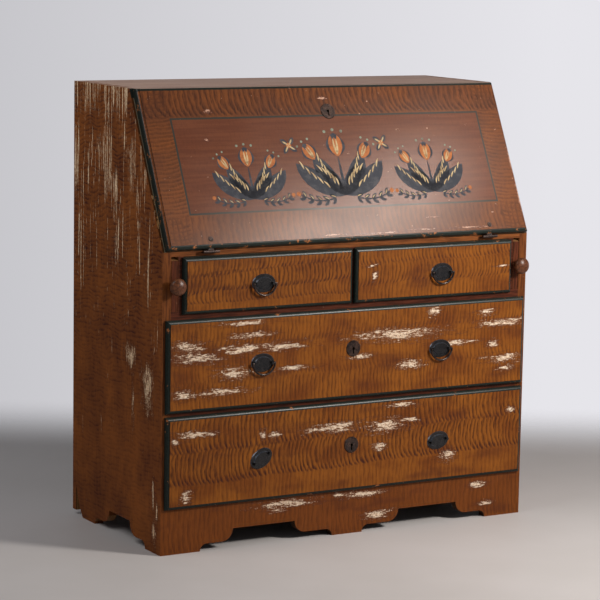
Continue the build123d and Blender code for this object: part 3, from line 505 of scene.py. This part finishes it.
def lid_paint():
    """Red-brown field with combed border, a painted frame line and a dark top edge."""
    finish = Finish("lid_paint")
    x = finish.x
    s = finish.s
    spot = (x, s)
    off_middle = abs(x)
    top_strokes, _ = comb_row(finish, spot, LID_TOP_ROW, 2.0)
    foot_strokes, _ = comb_row(finish, spot, LID_FOOT_ROW, 4.0)
    end_strokes, _ = comb_row(finish, (s, off_middle), LID_END_ROW, 6.0)
    border = top_strokes.most(foot_strokes).most(end_strokes)
    streak = finish.noise(spot, (0.006, 0.12), 3.0, detail=3.0, roughness=0.6)
    cloud = finish.noise(spot, (0.008, 0.011), 8.0, detail=3.0)
    weave = finish.noise(spot, (0.24, 0.07), 13.0, detail=4.0, roughness=0.7)
    past_frame = (off_middle - FRAME_X).most(FRAME_LOW - s).most(s - FRAME_HIGH)
    field = finish.mix(streak.ramp(0.3, 0.72), LID_RED_DARK, LID_RED)
    rim = finish.mix(cloud.ramp(0.35, 0.65), LID_RIM, LID_RIM_DARK)
    ground = finish.mix(past_frame.ramp(-2.0, 2.0), field, rim)
    colour = finish.mix((border + (weave - GLAZE_EVEN) * 1.1).clamped(), ground, LID_STROKE)
    wobble = finish.noise(spot, (0.03, 0.03), 5.0)
    rubbed = finish.noise(spot, (0.05, 0.09), 1.0, detail=4.0, roughness=0.65)
    line = abs(past_frame + wobble.centred(1.6)).ramp(FRAME_LINE + 0.5, FRAME_LINE - 0.5)
    colour = finish.mix(line * rubbed.ramp(0.78, 0.66) * 0.95, colour, LID_LINE)
    top_edge = (s + wobble.centred(2.0)).ramp(LID_END - LID_EDGE_LINE, LID_END - LID_EDGE_LINE + 1.0)
    colour = finish.mix(top_edge, colour, GREEN_BLACK)
    chip = finish.noise(spot, (0.05, 0.06), 21.0, detail=5.0, roughness=0.72).ramp(0.675, 0.70)
    colour = finish.mix(chip, colour, CHIP_PALE)
    colour, bare = worn_off(
        finish, colour, spot, WORN_LID, (0.03, 0.16), 31.0, light=CHIP_PALE, dark=CHIP_DARK,
    )
    height = border * 0.3 + streak * 0.25 + weave * 0.45 - chip.most(bare) * 0.8
    return finish.done(colour, cloud * 0.10 + 0.17, height, bump=0.16, depth=0.25, gloss=0.42)


def edge_paint():
    """The slanted side edge: green-black beside the lid with a lighter line painted as a highlight on the
    step, brown outside, chipped.
    """
    highlight_off = 5.0
    finish = Finish("edge_paint")
    off = abs(finish.x) - SIDE_EDGE_X
    rub = finish.noise(finish.place, (0.10, 0.03, 0.04), detail=4.0, roughness=0.65)
    # A pale line a few millimetres in from the edge: painted highlight on the step beside the lid
    line = abs(off - highlight_off).ramp(1.2, 0.5)
    dark = finish.mix(line * 0.9, GREEN_BLACK, EDGE_HIGHLIGHT)
    paint = finish.mix(off.ramp(6.0, 7.0), dark, EDGE_BROWN)
    lower = finish.z.ramp(900.0, 740.0)
    worn = (rub + lower * 0.08 + off.ramp(3.0, 8.0) * 0.05).ramp(0.66, 0.70)
    colour = finish.mix(worn, paint, EDGE_WORN)
    return finish.done(colour, rub * 0.2 + 0.45, rub - worn, gloss=0.06)


def top_paint():
    """Worn brown top, paler than the sides, lightened partly by wear and partly as a painted reflection of
    the bright backdrop, grain running along it.
    """
    finish = Finish("top_paint")
    spot = (finish.x, finish.y)
    grain = finish.noise(finish.place, (0.006, 0.16, 0.1), detail=4.0, roughness=0.6)
    cloud = finish.noise(spot, (0.012, 0.02), 4.0, detail=3.0)
    wear = finish.noise(spot, (0.02, 0.12), 9.0, detail=5.0, roughness=0.7)
    paint = finish.mix(grain.ramp(0.3, 0.7), TOP_BROWN, TOP_PALE_AND_SHEEN)
    chip = (wear + cloud.centred(0.5)).ramp(0.66, 0.70)
    colour = finish.mix(chip, paint, TOP_CHIP)
    return finish.done(colour, cloud * 0.15 + 0.28, grain - chip, gloss=0.4)


# How fast the rings of bare wood change along x, y and z, for grain along each of them
GRAIN = {"x": (0.005, 0.12, 0.12), "y": (0.12, 0.005, 0.12), "z": (0.10, 0.10, 0.005)}
FIBRES_PER_RING = 6.0


def bare_wood(name, light, dark, along):
    """Old pine or oak, unpainted, with grain along one axis."""
    finish = Finish(name)
    fibre_rate = [rate * FIBRES_PER_RING for rate in GRAIN[along]]
    rings = finish.noise(finish.place, GRAIN[along], detail=3.0, roughness=0.6)
    fibre = finish.noise(finish.place, fibre_rate)
    shade = (rings * 9.0).fraction() * 0.5 + fibre * 0.5
    colour = finish.mix(shade.ramp(0.15, 0.85), light, dark)
    return finish.done(colour, fibre * 0.15 + 0.58, shade)


def plank_wood():
    """Unpainted upright planks of the back, each from another tree, with dark joints between them."""
    finish = Finish("back_planks")
    spot = (finish.x, finish.z)
    place = (finish.x + PLANK_W * PLANKS / 2.0) / PLANK_W
    seed = place.math("FLOOR") * PLANK_SEED
    rings = finish.noise(spot, (0.09, 0.004), seed, detail=3.0, roughness=0.6)
    fibre = finish.noise(spot, (0.6, 0.03), seed + 5.0)
    tint = finish.noise((seed, 2.0), (1.0, 1.0), 7.0, detail=0.0)
    shade = (rings * 8.0).fraction() * 0.4 + fibre * 0.4 + tint.centred(0.9)
    joint = abs(place.fraction() - 0.5).ramp(0.490, 0.495)
    colour = finish.mix(joint, finish.mix(shade.ramp(0.05, 0.85), BARE, BARE_DARK), JOINT_DARK)
    return finish.done(colour, fibre * 0.15 + 0.6, shade - joint, depth=0.4, gloss=0.1)


def turned_wood():
    """The knobs' dark wood, handled smooth in places."""
    finish = Finish("turned_wood")
    grain = finish.noise(finish.place, (0.25, 0.03, 0.25), detail=4.0, roughness=0.6)
    handled = finish.noise(finish.place, (0.08, 0.08, 0.08), detail=3.0)
    colour = finish.mix(grain.ramp(0.3, 0.7), TURNED_DARK, TURNED)
    return finish.done(colour, handled * 0.2 + 0.22, grain, bump=0.2, depth=0.2, gloss=0.25)


def iron(name, dark, light, metallic):
    """Old blackened iron, browner where it is handled or rusted."""
    finish = Finish(name)
    rust = finish.noise(finish.place, (0.09, 0.09, 0.09), detail=4.0, roughness=0.65)
    pit = finish.noise(finish.place, (0.6, 0.6, 0.6), detail=3.0, roughness=0.6)
    colour = finish.mix((rust + pit.centred(0.4)).ramp(0.35, 0.75), dark, light)
    return finish.done(
        colour, pit * 0.25 + 0.16, pit, bump=0.35, depth=0.25, metallic=metallic, gloss=0.5,
    )


def brush_paint(name, main, shade, seed):
    """Hand-laid paint of the ornament, thinner in places."""
    finish = Finish(name)
    thin = finish.noise(finish.place, (0.05, 0.08, 0.06), seed, detail=4.0, roughness=0.65)
    lap = finish.noise(finish.place, (0.4, 0.4, 0.25), seed, detail=3.0)
    colour = finish.mix((thin + lap.centred(0.3)).ramp(0.42, 0.70), main, shade)
    return finish.done(colour, lap * 0.12 + 0.38, lap, bump=0.2, depth=0.1)


MATERIALS = {
    "small_left": grained_front("small_left_paint", LEFT_ROWS, WORN_SMALL, seed=3.0),
    "small_right": grained_front("small_right_paint", RIGHT_ROWS, WORN_SMALL, seed=83.0),
    "upper": grained_front("upper_front_paint", UPPER_ROWS, WORN_UPPER, seed=23.0),
    "lower": grained_front("lower_front_paint", LOWER_ROWS, WORN_LOWER, seed=43.0),
    "apron": grained_front("apron_paint", APRON_ROWS, WORN_APRON, seed=63.0, light=OCHRE_APRON),
    "rail": plain_paint("rail_paint", tone(86, 42, 26), tone(56, 27, 17), ALONG, seed=2.0),
    "stile": plain_paint("stile_paint", tone(116, 66, 30), tone(76, 39, 19), UPRIGHT, seed=5.0),
    "loper": plain_paint("loper_paint", tone(92, 46, 26), tone(60, 29, 17), UPRIGHT, seed=9.0),
    "upper_rail": plain_paint("upper_rail_paint", tone(128, 74, 36), tone(92, 50, 24), ALONG, seed=6.0),
    "moulding": moulding_paint("moulding_paint", seed=4.0, gloss=0.15, wear=0.02),
    "moulding_top": moulding_paint("moulding_top_paint", seed=24.0, gloss=0.34),
    "lid_moulding": moulding_paint("lid_moulding_paint", seed=14.0, gloss=0.16, wear=0.07),
    "side": side_paint(),
    "lid": lid_paint(),
    "edge": edge_paint(),
    "top": top_paint(),
    "pine_x": bare_wood("pine_across", BARE, BARE_DARK, "x"),
    "pine_y": bare_wood("pine_deep", BARE, BARE_DARK, "y"),
    "pine_z": bare_wood("pine_upright", BARE, BARE_DARK, "z"),
    "tail": bare_wood("dovetail_wood", tone(168, 126, 100), tone(122, 84, 62), "z"),
    "inner": bare_wood("writing_room_wood", tone(134, 84, 46), tone(92, 52, 28), "x"),
    # Underside wood: darker than the other bare wood, as painted shade under the case
    "under": bare_wood("underside_painted_shade_wood", tone(70, 46, 28), tone(44, 28, 17), "x"),
    "planks": plank_wood(),
    "turned": turned_wood(),
    "iron": iron("black_iron", tone(15, 15, 17), tone(36, 33, 33), metallic=0.3),
    # Lighter, bluish iron for the plates' bevelled rims: a painted highlight, besides what they reflect
    "iron_rim": iron("rim_highlight_iron", tone(78, 84, 94), tone(108, 108, 112), metallic=0.9),
    "bail": iron("worn_iron", tone(34, 28, 27), tone(84, 68, 60), metallic=0.7),
    "lock": iron("lock_iron", tone(36, 26, 23), tone(78, 57, 47), metallic=0.5),
}


def dress(name, default, *rules):
    """Give a node its finish, and other finishes to the faces that a rule picks by place and direction."""
    mesh = NODES[name].data
    mesh.materials.clear()
    for key in (default, *(key for key, _ in rules)):
        mesh.materials.append(MATERIALS[key])
    for face in mesh.polygons:
        face.material_index = 0
        for number, (_, picks) in enumerate(rules):
            if picks(face.center / MM, face.normal):
                face.material_index = number + 1
                break


# Rules for dress: how much of a face's direction points one way
EXACTLY = 0.99
ALMOST = 0.95
MOSTLY = 0.9
LARGELY = 0.7
HALFWAY = 0.5
PARTLY = 0.25
HARDLY = 0.05

# Rules for dress: how near a plane a face lies, in millimetres
CLOSE = 1.0
NEAR = 0.4
HAIR = 0.2


def faces_front(place, normal):
    return normal.y < -MOSTLY


def faces_up(place, normal):
    return normal.z > HALFWAY


def level(place, normal):
    return normal.z > ALMOST


def on_field(place, normal):
    """On the flat field of a drawer front."""
    return normal.y < -EXACTLY and place.y < FRONT_MM + DRAWER_FACE_V + NEAR


def bevelled(place, normal):
    """On the slanting rim of a pull plate, neither flat to the front nor square to it."""
    flat = -0.97
    square = -0.2
    return flat < normal.y < square


def on_lip(place, normal):
    """On the part of a drawer front that stands before the case."""
    return place.y < FRONT_MM - HAIR


def on_lip_top(place, normal):
    """On the upper edge of that part, where light falls."""
    return on_lip(place, normal) and normal.z > PARTLY


def on_lid_face(place, normal):
    """On the lid's flat face, or on what still faces that way of the mouldings at its ends."""
    out = (place.y - FRONT_MM) * -UP_Z + (place.z - SLOPE_FOOT) * UP_V
    flat = normal.dot(SLOPE_NORMAL) > EXACTLY and out > LID_FACE_OUT - NEAR
    end = abs(normal.x) > HARDLY and normal.dot(SLOPE_NORMAL) > LARGELY
    return flat or end


def on_lid_rim(place, normal):
    """On any face of the lid but its inner one."""
    return normal.dot(SLOPE_NORMAL) > -HALFWAY


def on_top(place, normal):
    """On the ends of the sides that show level with the top board."""
    return normal.z > ALMOST and place.z > TOP_MM - CLOSE


def on_slope(place, normal):
    """On a front edge above the foot of the slope."""
    return normal.y < -HALFWAY and place.z > SLOPE_FOOT


def outward(place, normal):
    """On the outside of the case's left or right side."""
    return abs(normal.x) > MOSTLY and normal.x * place.x > 0 and abs(place.x) > SIDE_FACE_X


for side in ("side_left", "side_right"):
    dress(side, "pine_z", ("edge", on_slope), ("side", outward), ("stile", faces_front), ("tail", on_top))
dress("top_board", "pine_x", ("top", faces_up), ("side", outward), ("moulding", on_slope))
dress("back_boards", "planks", ("side", outward))
# The apron's hidden faces take the darker underside wood, painted shade under the case
dress("apron", "under", ("apron", faces_front), ("side", outward))
dress("lid_panel", "inner", ("lid", on_lid_face), ("top", level), ("lid_moulding", on_lid_rim))
dress("desk_floor", "inner", ("upper_rail", faces_front))
dress("lower_runners", "pine_y")
# The bottom board and glue blocks also take the darker underside wood as painted shade, with plain pine on
# their upward faces
for node in ("bottom_board", "glue_blocks"):
    dress(node, "under", ("pine_x", level))
for node in ("lower_rail", "drawer_shelf", "drawer_divider", "loper_cheeks"):
    dress(node, "pine_x", ("rail", faces_front))
for node in ("gallery_shelf", "gallery_uprights", "inner_drawer_left", "inner_drawer_right"):
    dress(node, "inner")
for node in ("loper_left", "loper_right"):
    dress(node, "pine_y", ("loper", faces_front))
for node in ("loper_knob_left", "loper_knob_right", "inner_knob_left", "inner_knob_right"):
    dress(node, "turned")
for drawer in ("small_left", "small_right", "upper", "lower"):
    rules = ((drawer, on_field), ("moulding_top", on_lip_top), ("moulding", on_lip))
    dress(f"{drawer}_front", "pine_x", *rules)
    dress(f"{drawer}_box", "pine_y")
    dress(f"{drawer}_bottom", "pine_y")
for node in NODES:
    if "plate" in node:
        # The bevelled rims of the plates take the lighter iron as a painted highlight
        dress(node, "iron", ("iron_rim", bevelled))
    elif "bail" in node:
        dress(node, "bail")
    elif "escutcheon" in node or "lock" in node or "hinge" in node:
        dress(node, "lock")


# Painted ornament on the lid: three upright bunches of flowers, laid on as thin films of paint
FILM_FOOT = -0.05
UPWARD = 90
BUNCH_FOOT = 114.0
BUNCH_SIDE_X = 252.0
BUNCH_SIDE_SIZE = 0.82
STAR_X = 130.0
STAR_S = 246.0

# The broad leaves of a bunch: heading and bend in degrees, length and width in millimetres
LEAVES = (
    {"heading": 22, "length": 150, "width": 50, "bend": 30},
    {"heading": 48, "length": 128, "width": 46, "bend": 22},
    {"heading": 66, "length": 98, "width": 36, "bend": -40},
)

# Pale strokes along a leaf's rib: how many, and where, as shares of its length
LEAF_FEATHERS = 5
FIRST_FEATHER = 0.30
FEATHER_STEP = 0.13

# A sprig's pairs of leaves: how many, its heading and curl in degrees, its step in millimetres
SPRIG_LEAVES = 5
SPRIG_HEADING = -14.0
SPRIG_CURL = 11.0
SPRIG_STEP = 21


def lid_point(x, s, lift):
    """A point on the lid face, in metres, lift millimetres proud of it."""
    out = LID_FACE_OUT + lift
    return Vector((x, FRONT_MM + s * UP_V - out * UP_Z, SLOPE_FOOT + s * UP_Z + out * UP_V)) * MM


def step_from(x, s, heading, length):
    """The point that lies length millimetres from x, s in the direction heading."""
    angle = math.radians(heading)
    return x + math.cos(angle) * length, s + math.sin(angle) * length


def film(mesh, outline, lift):
    """Add one closed film of paint with that outline (x, s), sunk a hair into the wood below."""
    top = [mesh.verts.new(lid_point(x, s, lift)) for x, s in outline]
    low = [mesh.verts.new(lid_point(x, s, FILM_FOOT)) for x, s in outline]
    mesh.faces.new(top)
    mesh.faces.new(list(reversed(low)))
    count = len(outline)
    for i in range(count):
        j = (i + 1) % count
        mesh.faces.new((top[j], top[i], low[i], low[j]))


def stroke(x, s, heading, length, width, bend, belly=0.5, steps=9):
    """Outline of one brush stroke: starts at x, s, turns by bend degrees, widest at belly of its length."""
    roundness = 0.75
    left = []
    right = []
    for i in range(steps + 1):
        share = i / steps
        turned = heading + bend * share
        swell = share / belly if share < belly else (1 - share) / (1 - belly)
        half = width / 2 * math.sin(math.pi / 2 * swell) ** roundness
        if 0 < i < steps:
            left.append(step_from(x, s, turned + 90, half))
            right.append(step_from(x, s, turned - 90, half))
        elif i == 0:
            left.append((x, s))
        else:
            right.append((x, s))
        x, s = step_from(x, s, turned, length / steps)
    return right + list(reversed(left))


def dot(x, s, radius, sides=14):
    """Outline of a round touch of the brush."""
    return [step_from(x, s, 360 * i / sides, radius) for i in range(sides)]


def bunch(add, x, s, size):
    """A bunch of three tulips on broad feathered leaves, drawn upright from its foot at x, s."""
    stem = 104 * size
    for way in (-1, 1):
        for leaf in LEAVES:
            feathered_leaf(add, x, s, way, size, **leaf)
        add("slate", stroke(
            x, s + 10 * size, UPWARD - way * 22, length=stem, width=7 * size, bend=-way * 34, belly=0.3,
        ))
        tulip(add, x + way * 66 * size, s + 94 * size, UPWARD - way * 30, 0.86 * size)
        sprig(add, x + way * 30 * size, s - 6 * size, way, size)
    add("slate", stroke(x, s, UPWARD, length=stem, width=8 * size, bend=0, belly=0.3))
    tulip(add, x, s + 100 * size, UPWARD, 1.1 * size)


def feathered_leaf(add, x, s, way, size, heading, length, width, bend):
    """A broad dark leaf on one side of a bunch, with pale strokes along its rib."""
    turn = UPWARD - way * (UPWARD - heading)
    add("slate", stroke(x, s, turn, length * size, width * size, bend=way * bend, belly=0.56))
    for k in range(LEAF_FEATHERS):
        share = FIRST_FEATHER + FEATHER_STEP * k
        rib_x, rib_s = step_from(x, s, turn + way * bend * share * 0.5, length * size * share)
        spread = turn + way * (bend * share + 34)
        add("cream", stroke(
            rib_x, rib_s, spread, length=25 * size, width=4.2 * size, bend=-way * 30, belly=0.4,
        ))


def sprig(add, x, s, way, size):
    """A trailing stem with small paired leaves and a berry at its tip."""
    for k in range(SPRIG_LEAVES):
        heading = SPRIG_HEADING + SPRIG_CURL * k
        turn = UPWARD - way * (UPWARD - heading)
        add("slate", stroke(x, s, turn, length=24 * size, width=4.5 * size, bend=way * 6, belly=0.4))
        for side in (-1, 1):
            add("slate", stroke(
                x, s, turn + side * 52, length=20 * size, width=8.5 * size, bend=-side * 34,
            ))
        add("cream", stroke(
            x, s + 2 * size, turn + way * 46, length=14 * size, width=2.6 * size, bend=-way * 30, belly=0.4,
        ))
        x, s = step_from(x, s, turn, SPRIG_STEP * size)
    add("ochre", dot(x, s, 6.0 * size))


def tulip(add, x, s, heading, size):
    """A flower head: dark cup, ochre petals, a cream heart and three green tips."""
    add("slate", stroke(x, s, heading, length=56 * size, width=48 * size, bend=0, belly=0.45))
    for way in (-1, 1):
        add("ochre", stroke(
            x, s, heading + way * 30, length=52 * size, width=15 * size, bend=-way * 46,
        ))
        add("cream", stroke(
            x, s + 4 * size, heading + way * 14, length=40 * size, width=5 * size, bend=-way * 20, belly=0.4,
        ))
    add("ochre", stroke(x, s + 6 * size, heading, length=40 * size, width=9 * size, bend=0, belly=0.55))
    for spread in (-20, 0, 20):
        add("green", dot(*step_from(x, s, heading + spread, 63 * size), 3.6 * size))
    add("cream", dot(*step_from(x, s, heading, 12 * size), 3.2 * size))


def star(add, x, s):
    """A small four-petalled star between two bunches."""
    for angle in (45, 135, 225, 315):
        add("slate", stroke(x, s, angle, length=26.0, width=12.0, bend=20.0, belly=0.6))
        add("cream", stroke(x, s, angle + 4, length=20.0, width=4.0, bend=16.0, belly=0.6))
    add("ochre", dot(x, s, 7.0))


def ornament():
    """Paint the bunches and stars on the lid, one piece for each colour, laid one over the other."""
    # How proud each colour stands, in millimetres, and its paint
    layers = {
        "slate": (0.12, brush_paint("slate_paint", tone(38, 41, 50), tone(64, 64, 68), seed=1.0)),
        "ochre": (0.20, brush_paint("ochre_paint", tone(168, 98, 46), tone(128, 70, 36), seed=2.0)),
        "green": (0.24, brush_paint("green_paint", tone(128, 140, 122), tone(96, 100, 84), seed=3.0)),
        "cream": (0.28, brush_paint("cream_paint", tone(188, 164, 122), tone(140, 112, 78), seed=4.0)),
    }
    meshes = {key: bmesh.new() for key in layers}

    def add(key, outline):
        film(meshes[key], outline, layers[key][0])

    bunch(add, 0.0, BUNCH_FOOT, 1.0)
    for way in (-1, 1):
        bunch(add, way * BUNCH_SIDE_X, BUNCH_FOOT, BUNCH_SIDE_SIZE)
        star(add, way * STAR_X, STAR_S)
    for key, (_, material) in layers.items():
        made = bpy.data.meshes.new(f"ornament_{key}")
        bmesh.ops.recalc_face_normals(meshes[key], faces=meshes[key].faces)
        meshes[key].to_mesh(made)
        meshes[key].free()
        piece = bpy.data.objects.new(f"ornament_{key}", made)
        bpy.context.scene.collection.objects.link(piece)
        made.materials.append(material)
        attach(piece, "lid")


ornament()


# Camera: place and reach in metres, lens and sensor in millimetres
CAMERA_PLACE = (-3.0330, -5.2246, 1.4394)
CAMERA_YAW = math.radians(30.033)
CAMERA_PITCH = math.radians(8.41)
CAMERA_ROLL = math.radians(0.972)
CAMERA_RIGHT = (math.cos(CAMERA_YAW), -math.sin(CAMERA_YAW), 0.0)
CAMERA_LENS = 146.99
CAMERA_SENSOR = 36.0
CAMERA_REACH = 60.0

# Floor: its radius in metres, its paint, and where it fades out, in millimetres of depth
FLOOR_RADIUS = 6.0
FLOOR_SIDES = 96
FLOOR_PALE = tone(204, 199, 197)
FLOOR_DULL = tone(196, 191, 188)
FLOOR_FADE = (750.0, 1500.0)

# Backdrop: its colours, and between which directions they change
WALL_LEFT = tone(108, 109, 113)
WALL_RIGHT = tone(230, 229, 234)
WALL_ABOVE = tone(104, 105, 109)
WALL_SIDEWAYS = (-0.55, 0.10)
WALL_RISE = (-0.01, 0.2)


def floor():
    """A pale floor that fades into the backdrop behind the desk."""
    finish = Finish("floor_paint")
    cloud = finish.noise((finish.x, finish.y), (0.0012, 0.0012), detail=4.0, roughness=0.6)
    colour = finish.mix(cloud.ramp(0.3, 0.7), FLOOR_DULL, FLOOR_PALE)
    material = finish.done(colour, cloud * 0.1 + 0.45)
    depth = finish.x * math.sin(CAMERA_YAW) + finish.y * math.cos(CAMERA_YAW)
    clear = finish.node("ShaderNodeBsdfTransparent")
    fade = finish.node("ShaderNodeMixShader")
    finish.plug(depth.ramp(*FLOOR_FADE), fade.inputs[0])
    finish.tree.links.new(finish.shader.outputs[0], fade.inputs[1])
    finish.tree.links.new(clear.outputs[0], fade.inputs[2])
    finish.tree.links.new(fade.outputs[0], finish.tree.nodes["Material Output"].inputs[0])
    mesh = bmesh.new()
    bmesh.ops.create_circle(mesh, cap_ends=True, segments=FLOOR_SIDES, radius=FLOOR_RADIUS)
    made = bpy.data.meshes.new("floor")
    mesh.to_mesh(made)
    mesh.free()
    made.materials.append(material)
    piece = bpy.data.objects.new("floor", made)
    piece.location.z = CAD_BOX[0][2]
    bpy.context.scene.collection.objects.link(piece)


def backdrop():
    """Light from all round, paler to the camera's right and dimmer above."""
    world = bpy.data.worlds.new("studio")
    world.use_nodes = True
    sky = Nodes(world.node_tree)
    way = sky.node("ShaderNodeTexCoord").outputs["Generated"]
    split = sky.node("ShaderNodeSeparateXYZ")
    sideways = sky.node("ShaderNodeVectorMath", operation="DOT_PRODUCT")
    sideways.inputs[1].default_value = CAMERA_RIGHT
    sky.tree.links.new(way, split.inputs[0])
    sky.tree.links.new(way, sideways.inputs[0])
    rightward = Wire(sky, sideways.outputs["Value"]).ramp(*WALL_SIDEWAYS, kind="LINEAR")
    rise = Wire(sky, split.outputs[2]).ramp(*WALL_RISE, kind="LINEAR")
    wall = sky.mix(rightward, WALL_LEFT, WALL_RIGHT)
    sky.plug(sky.mix(rise, wall, WALL_ABOVE), sky.tree.nodes["Background"].inputs["Color"])
    bpy.context.scene.world = world


def lamp(name, place, target, size, power, colour=(1.0, 1.0, 1.0)):
    """A soft rectangular lamp at place, aimed at target."""
    light = bpy.data.lights.new(name, "AREA")
    light.shape = "RECTANGLE"
    light.size, light.size_y = size
    light.energy = power
    light.color = colour
    lamp_object = bpy.data.objects.new(name, light)
    lamp_object.location = place
    aim = Vector(target) - Vector(place)
    lamp_object.rotation_euler = aim.to_track_quat("-Z", "Y").to_euler()
    bpy.context.scene.collection.objects.link(lamp_object)


def studio():
    """The backdrop, a warm key lamp at the right, a sheen over the lid and a fill from the left."""
    backdrop()
    lamp(
        "key", place=(0.95, -1.72, 1.45), target=(0.0, 0.0, 0.6), size=(0.32, 0.36), power=38.5,
        colour=(1.0, 0.965, 0.92),
    )
    lamp(
        "sheen", place=(1.22, -1.70, 2.20), target=(0.0, -0.2, 0.75), size=(0.80, 0.20), power=9.5,
        colour=(1.0, 0.88, 0.80),
    )
    lamp("fill", place=(-2.0, -0.3, 2.4), target=(-0.5, 0.0, 0.3), size=(1.6, 1.6), power=20.0)
    bpy.context.scene.view_settings.view_transform = "Standard"


def camera():
    """The photograph's viewpoint: yaw to the right, pitch down, a slight roll."""
    look = Vector((
        math.sin(CAMERA_YAW) * math.cos(CAMERA_PITCH),
        math.cos(CAMERA_YAW) * math.cos(CAMERA_PITCH),
        -math.sin(CAMERA_PITCH),
    ))
    sideways = Vector(CAMERA_RIGHT)
    upright = sideways.cross(look)
    right = sideways * math.cos(CAMERA_ROLL) + upright * math.sin(CAMERA_ROLL)
    up = upright * math.cos(CAMERA_ROLL) - sideways * math.sin(CAMERA_ROLL)
    data = bpy.data.cameras.new("camera")
    data.lens = CAMERA_LENS
    data.sensor_width = CAMERA_SENSOR
    data.clip_end = CAMERA_REACH
    eye = bpy.data.objects.new("camera", data)
    turn = Matrix((right, up, -look)).transposed().to_4x4()
    eye.matrix_world = Matrix.Translation(CAMERA_PLACE) @ turn
    bpy.context.scene.collection.objects.link(eye)
    bpy.context.scene.camera = eye


floor()
studio()
camera()
